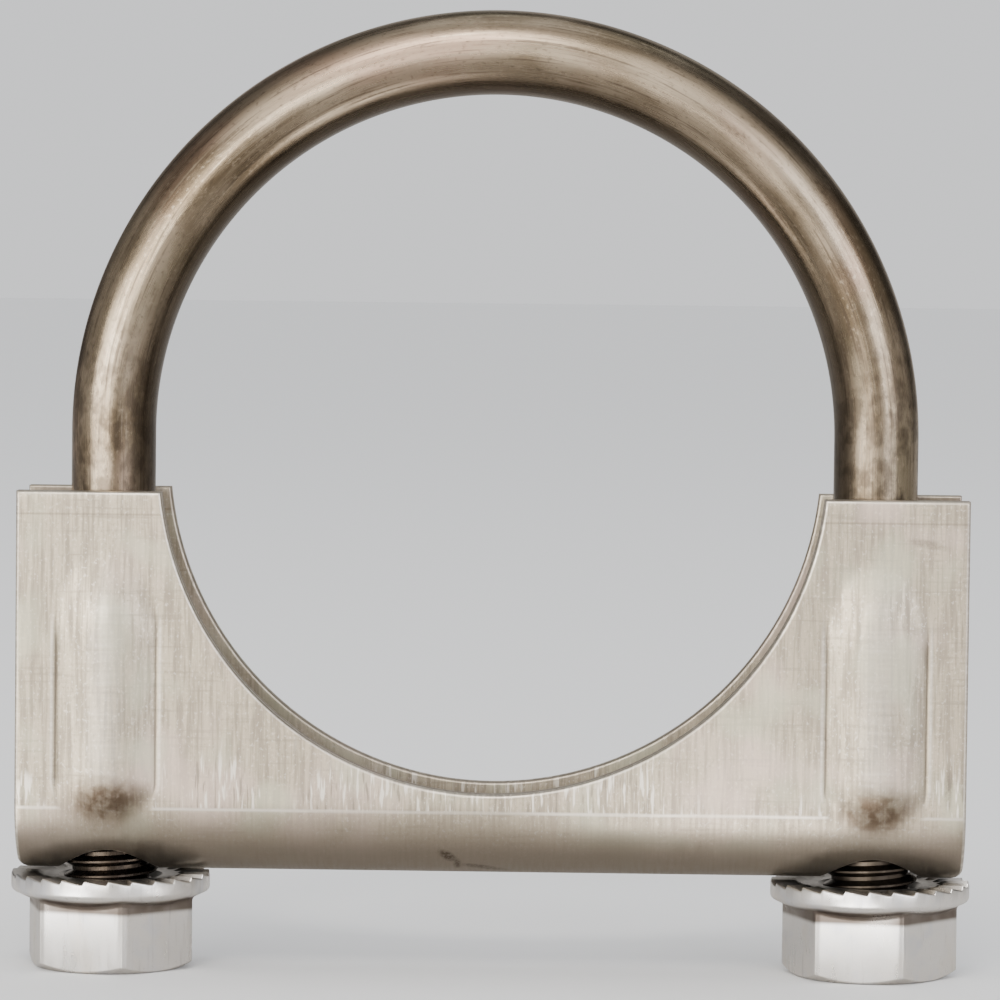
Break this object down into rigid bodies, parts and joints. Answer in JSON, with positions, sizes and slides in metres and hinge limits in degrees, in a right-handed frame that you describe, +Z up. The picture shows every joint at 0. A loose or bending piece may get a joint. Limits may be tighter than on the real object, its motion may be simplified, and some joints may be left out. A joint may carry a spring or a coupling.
{
  "type": "u-bolt pipe clamp",
  "caption": "U-bolt pipe clamp with a folded sheet steel saddle and serrated flange nuts, squeezing overlapping round pipes together.",
  "frame": {"origin": "on the axis of the saddle's half-round pipe seat, half way through the saddle's depth", "axes": "+X across the legs towards the right-hand nut, +Y along the pipe away from the front, +Z up the legs towards the bend"},
  "size_m": [0.0812, 0.0168, 0.081],
  "materials": {
    "drawn_bar_steel": "cold drawn carbon steel bar, unplated, with a thin brown-grey oil and oxide film and lengthwise drawing streaks",
    "pressed_sheet_steel": "rolled sheet steel, light warm grey satin, fine upright rolling marks, bright sheared edges, darker round the fold",
    "bright_zinc_plate": "bright zinc plate on steel, clear passivated, near-white and smooth"
  },
  "bodies": {
    "saddle": {"saddle": "pressed_sheet_steel"},
    "left_nut": {"left_flange_nut": "bright_zinc_plate"},
    "right_nut": {"right_flange_nut": "bright_zinc_plate"},
    "u_bolt": {"u_bolt": "drawn_bar_steel"}
  },
  "joints": [
    {"name": "u_bolt_draw", "type": "slide", "parent": "saddle", "child": "u_bolt", "axis": [0, 0, -1], "range_m": [-0.00562, 0.00213]},
    {"name": "left_nut_turn", "type": "hinge", "parent": "saddle", "child": "left_nut", "pos_m": [-0.03215, 0, -0.039], "axis": [0, 0, 1], "range_deg": [-1621, 613]},
    {"name": "right_nut_turn", "type": "hinge", "parent": "saddle", "child": "right_nut", "pos_m": [0.03215, 0, -0.039], "axis": [0, 0, 1], "range_deg": [-1621, 613]}
  ],
  "couplings": [
    {"joint": "left_nut_turn", "follows": "u_bolt_draw", "rad_per_m": 5026.5},
    {"joint": "right_nut_turn", "follows": "u_bolt_draw", "rad_per_m": 5026.5}
  ]
}
